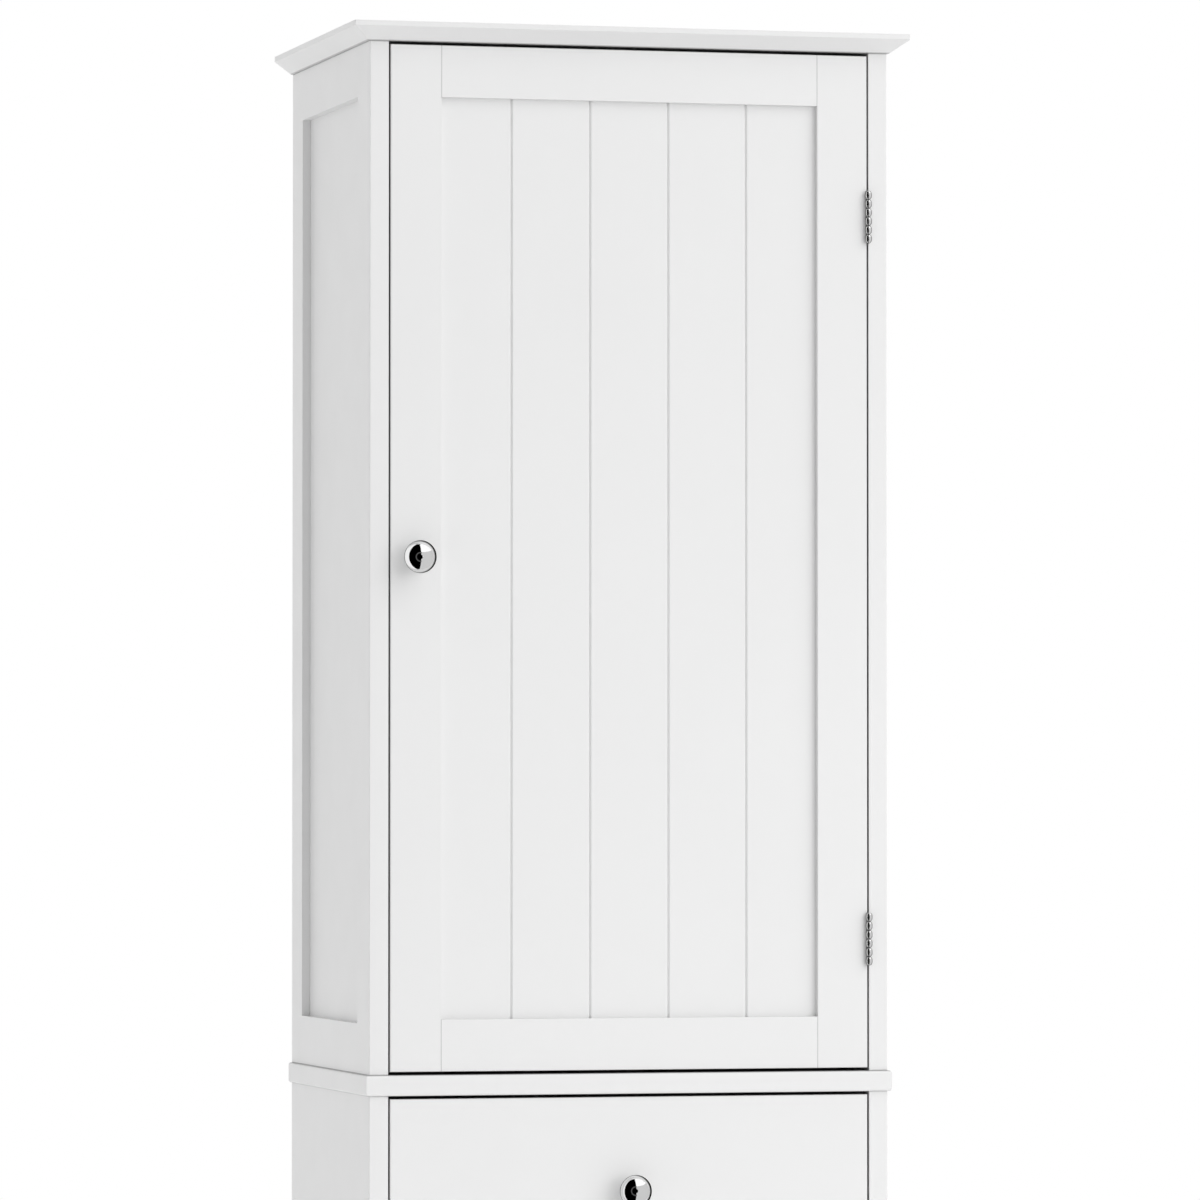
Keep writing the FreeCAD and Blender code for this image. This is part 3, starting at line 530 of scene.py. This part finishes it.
def make_catch_screws():
    """Two screws through the ears of each catch, and two through each strike plate."""
    out_of_side = Matrix.Rotation(math.pi / 2, 4, "Y")
    out_of_door = Matrix.Rotation(-math.pi / 2, 4, "X")
    low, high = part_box("door_catches")
    ear_face = low[0] + CATCH_EAR_THICKNESS
    ear_middle = (low[1] + high[1]) / 2
    in_catches = bmesh.new()
    for door in ("upper_door", "lower_door"):
        low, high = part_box(door + "_catch_plate")
        across, level = (low[0] + high[0]) / 2, (low[2] + high[2]) / 2
        in_plate = bmesh.new()
        for way in (-1, 1):
            on_ear = Matrix.Translation((ear_face, ear_middle, level + way * CATCH_SCREW_RISE))
            add_pan_screw(in_catches, on_ear @ out_of_side, *CATCH_SCREW_HEAD)
            on_plate = Matrix.Translation((across, high[1], level + way * PLATE_SCREW_RISE))
            add_pan_screw(in_plate, on_plate @ out_of_door, *PLATE_SCREW_HEAD)
        finish_piece(door + "_plate_screws", in_plate, "zinc", door)
    finish_piece("catch_screws", in_catches, "zinc", "carcass")


# ---------------------------------------------------------------- hinges


def knuckle_profile(length):
    """A barrel segment that bulges in its middle, from its lower end upwards."""
    profile = []
    for step in range(KNUCKLE_STEPS + 1):
        part = step / KNUCKLE_STEPS
        from_middle = abs(part * 2 - 1)
        radius = BARREL_RADIUS - KNUCKLE_BULGE * from_middle**BULGE_POWER
        profile.append((radius, length * part))
    return profile


def plate_outline(own):
    """The outline of a leaf's plate across and up, notched for the other leaf's knuckles."""
    segment = HINGE_HEIGHT / KNUCKLES
    inner = []
    for number in range(KNUCKLES):
        across = 0 if number in own else KNUCKLE_NOTCH
        inner.append((across, segment * number))
        inner.append((across, segment * (number + 1)))
    return inner + [(HINGE_REACH, HINGE_HEIGHT), (HINGE_REACH, 0)]


def screw_place(place, rise, side):
    """Where a screw's head lies on a leaf, with its Z axis out of the plate."""
    middle = Vector((side * LEAF_GAP / 2, SCREW_REACH, HINGE_HEIGHT / 2 + rise))
    return place @ Matrix.Translation(middle) @ Matrix.Rotation(-side * math.pi / 2, 4, "Y")


def add_leaf(leaves, screws, place, own, side):
    """One leaf with its knuckles about the Z axis of a place, and its two screws."""
    start = side * LEAF_GAP / 2
    outline = [leaves.verts.new(place @ Vector((start, y, z))) for y, z in plate_outline(own)]
    edges = loop_edges(leaves, outline)
    for rise in (-SCREW_SPACING / 2, SCREW_SPACING / 2):
        hole = screw_place(place, rise, side)
        edges += loop_edges(leaves, ring(leaves, hole, COUNTERSINK_RADIUS, 0))
        add_sunk_screw(screws, hole)
    filled = bmesh.ops.triangle_fill(leaves, use_beauty=True, edges=edges)["geom"]
    faces = [item for item in filled if isinstance(item, bmesh.types.BMFace)]
    grown = bmesh.ops.extrude_face_region(leaves, geom=faces)["geom"]
    moved = [item for item in grown if isinstance(item, bmesh.types.BMVert)]
    bmesh.ops.translate(leaves, verts=moved, vec=Vector((side * LEAF_THICKNESS, 0, 0)))
    segment = HINGE_HEIGHT / KNUCKLES
    for number in own:
        bottom = Matrix.Translation((0, 0, segment * number + KNUCKLE_GAP / 2))
        lathe(leaves, place @ bottom, knuckle_profile(segment - KNUCKLE_GAP))


def hinge_places(door, joint):
    """The lower ends of the hinge axes of a door."""
    low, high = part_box(door + "_hinge_leaves")
    x, y, _ = joint["pos_m"]
    return [Matrix.Translation((x, y, z)) for z in (low[2], high[2] - HINGE_HEIGHT)]


def make_hinges():
    """Butt hinges with bulging knuckles, in the place of the plain ones of the solids."""
    on_frame, in_frame = bmesh.new(), bmesh.new()
    for joint in frame["record"]["behaviour"]["joints"]:
        if joint["type"] != "hinge":
            continue
        door = joint["child"]
        on_door, in_door = bmesh.new(), bmesh.new()
        for place in hinge_places(door, joint):
            add_leaf(on_frame, in_frame, place, range(0, KNUCKLES, 2), 1)
            add_leaf(on_door, in_door, place, range(1, KNUCKLES, 2), -1)
        leaves = door + "_hinge_leaves"
        finish_piece(leaves + "_rolled", on_door, "nickel", door, [leaves])
        finish_piece(door + "_hinge_screws", in_door, "nickel", door)
    leaves = "frame_hinge_leaves"
    finish_piece(leaves + "_rolled", on_frame, "nickel", "carcass", [leaves])
    finish_piece("frame_hinge_screws", in_frame, "nickel", "carcass")


# ---------------------------------------------------------------- the studio


def make_camera():
    camera = add_to_scene("camera", bpy.data.cameras.new("camera"))
    camera.data.sensor_width = SENSOR_WIDTH
    camera.data.lens = FOCAL_LENGTH / IMAGE_SIDE * SENSOR_WIDTH
    camera.location = CAMERA_PLACE
    camera.rotation_euler = (math.pi / 2 + CAMERA_PITCH, 0, -CAMERA_YAW)
    bpy.context.scene.camera = camera


def make_key_light():
    """A broad, soft and distant light from the upper right in front."""
    light = bpy.data.lights.new("key", "SUN")
    light.angle = KEY_SPREAD
    light.energy = KEY_STRENGTH
    key = add_to_scene("key", light)
    key.rotation_euler = KEY_DIRECTION.to_track_quat("Z", "Y").to_euler()


def make_world():
    """Even light all round, and white where the camera or a mirroring or clear surface sees it."""
    world = bpy.data.worlds.new("studio")
    bpy.context.scene.world = world
    graph = Graph(world)
    path = graph.add("LightPath").outputs
    seen = graph.combine("MAXIMUM", path["Is Camera Ray"], path["Is Glossy Ray"])
    seen = graph.combine("MAXIMUM", seen, path["Is Transmission Ray"])
    strength = graph.ramp(seen, AMBIENT, 1.0, start=0, end=1)
    graph.feed(graph.nodes["Background"], Color=grey(1.0), Strength=strength)


def make_floor():
    """A pale, faintly glowing floor that keeps the shadow and fades into the white around it."""
    mesh = bpy.data.meshes.new("floor")
    corners = [(-1, -1), (1, -1), (1, 1), (-1, 1)]
    points = [(FLOOR_REACH * x, FLOOR_REACH * y, 0) for x, y in corners]
    mesh.from_pydata(points, [], [(0, 1, 2, 3)])
    made, graph, shader = new_material("floor")
    graph.feed(
        shader,
        Base_Color=grey(FLOOR_TONE),
        Roughness=0.8,
        Emission_Color=grey(1.0),
        Emission_Strength=FLOOR_GLOW,
    )
    distance = graph.add("VectorMath", operation="LENGTH")
    graph.put(graph.position(), distance.inputs[0])
    away = distance.outputs["Value"]
    fade = graph.ramp(away, 0, 1, start=FLOOR_CLEAR_RADIUS, end=FLOOR_WHITE_RADIUS)
    seen = graph.add("LightPath").outputs["Is Camera Ray"]
    mix = graph.add("MixShader")
    graph.put(graph.combine("MULTIPLY", fade, seen), mix.inputs[0])
    graph.put(shader.outputs[0], mix.inputs[1])
    graph.put(graph.add("Emission").outputs[0], mix.inputs[2])
    graph.feed(graph.nodes["Material Output"], Surface=mix.outputs[0])
    mesh.materials.append(made)
    floor = add_to_scene("floor", mesh)
    floor.visible_glossy = False


def steps_between(start, end):
    count = max(1, math.ceil(abs(end - start) / CARD_STEP))
    return [start + (end - start) * i / count for i in range(count + 1)]


def toward(azimuth, elevation=0.0):
    """A direction by its angles in degrees: from straight in front to the right, and up."""
    around, up = math.radians(azimuth), math.radians(elevation)
    level = Vector((math.sin(around), -math.cos(around), 0))
    return level * math.cos(up) + UP * math.sin(up)


def band(azimuths, elevations):
    """Rows of directions between two azimuths and two elevations."""
    return [[toward(a, e) for a in steps_between(*azimuths)] for e in steps_between(*elevations)]


def disc(azimuth, angles, turns):
    """Rows of directions round a level one, between two angles from it and two turns about it.

    A turn of 0 points to the right, 90 up and 180 to the left.
    """
    rows = []
    for angle in map(math.radians, steps_between(*angles)):
        spokes = [
            toward(azimuth + 90) * math.cos(turn) + UP * math.sin(turn)
            for turn in map(math.radians, steps_between(*turns))
        ]
        rows.append([toward(azimuth) * math.cos(angle) + way * math.sin(angle) for way in spokes])
    return rows


def make_card(name, distance, rows, level, mirrored=True):
    """A curved card, either one that only metal mirrors or one that only lights the paint."""
    width = len(rows[0])
    points = [STUDIO_MIDDLE + direction * distance for row in rows for direction in row]
    faces = [
        (r * width + c, r * width + c + 1, (r + 1) * width + c + 1, (r + 1) * width + c)
        for r in range(len(rows) - 1)
        for c in range(width - 1)
    ]
    mesh = bpy.data.meshes.new(name)
    mesh.from_pydata(points, [], faces)
    made, graph, _ = new_material(name)
    glow = graph.add("Emission")
    graph.feed(glow, Strength=level)
    graph.feed(graph.nodes["Material Output"], Surface=glow.outputs[0])
    mesh.materials.append(made)
    card = add_to_scene(name, mesh)
    card.visible_camera = False
    card.visible_glossy = mirrored
    card.visible_diffuse = not mirrored
    card.visible_shadow = not mirrored


def make_cards():
    """A shade to the left, and the dark, grey and white cards that the metal mirrors."""
    left_half, right_half, full, most_left = (90, 270), (-90, 90), (0, 360), (75, 285)
    shade = band(azimuths=(-66, 12), elevations=(0, 72))
    make_card("shade", 5.0, shade, level=0.5, mirrored=False)
    make_card("dark_card", 5.3, disc(12, (0, 95), left_half), level=0.0)
    make_card("grey_card", 5.25, disc(-1, (0, 98), right_half), level=0.67)
    white = band(azimuths=(-1, 94), elevations=(31, 84))
    make_card("white_card", 5.2, white, level=1.16)
    make_card("lens_rim", 5.1, disc(-6, (24, 31), most_left), level=0.09)
    make_card("lens", 5.0, disc(-5, (0, 14), full), level=0.0)


def make_studio():
    make_camera()
    make_key_light()
    make_world()
    make_floor()
    make_cards()
    bpy.context.scene.view_settings.view_transform = "Standard"


# ---------------------------------------------------------------- the whole picture


finish_cad_nodes()
make_hinges()
make_catch_screws()
make_studio()
